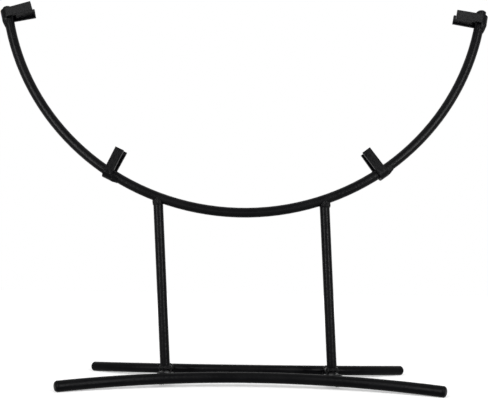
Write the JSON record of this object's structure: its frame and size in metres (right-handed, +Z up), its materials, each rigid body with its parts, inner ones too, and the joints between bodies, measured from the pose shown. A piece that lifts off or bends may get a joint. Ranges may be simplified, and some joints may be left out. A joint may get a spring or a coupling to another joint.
{
  "type": "round display stand",
  "caption": "Freestanding black welded rod stand: a leaning rod arc with U-shaped clips holds a round disc or plate upright, on posts and a base of bowed foot bars.",
  "frame": {"origin": "on the floor, under the middle of the cradle arc, midway between the two foot bars", "axes": "+Z up, +X to the right as seen from the front, +Y to the back, the way the cradle leans"},
  "size_m": [0.4829, 0.1692, 0.3707],
  "materials": {
    "steel_black": "satin black powder coat on steel rod and strip",
    "weld_black": "satin black powder coat over weld beads"
  },
  "bodies": {
    "root": {"cradle_rod": "steel_black", "clip_upper_left": "steel_black", "clip_lower_left": "steel_black", "clip_lower_right": "steel_black", "clip_upper_right": "steel_black", "clip_weld_upper_left": "weld_black", "clip_weld_lower_left": "weld_black", "clip_weld_lower_right": "weld_black", "clip_weld_upper_right": "weld_black", "post_left": "steel_black", "post_right": "steel_black", "post_top_weld_left": "weld_black", "post_top_weld_right": "weld_black", "post_base_weld_left": "weld_black", "post_base_weld_right": "weld_black", "crossbar_left": "steel_black", "crossbar_right": "steel_black", "crossbar_weld_front_left": "weld_black", "crossbar_weld_back_left": "weld_black", "crossbar_weld_front_right": "weld_black", "crossbar_weld_back_right": "weld_black", "foot_bar_front": "steel_black", "foot_bar_back": "steel_black"}
  },
  "joints": []
}
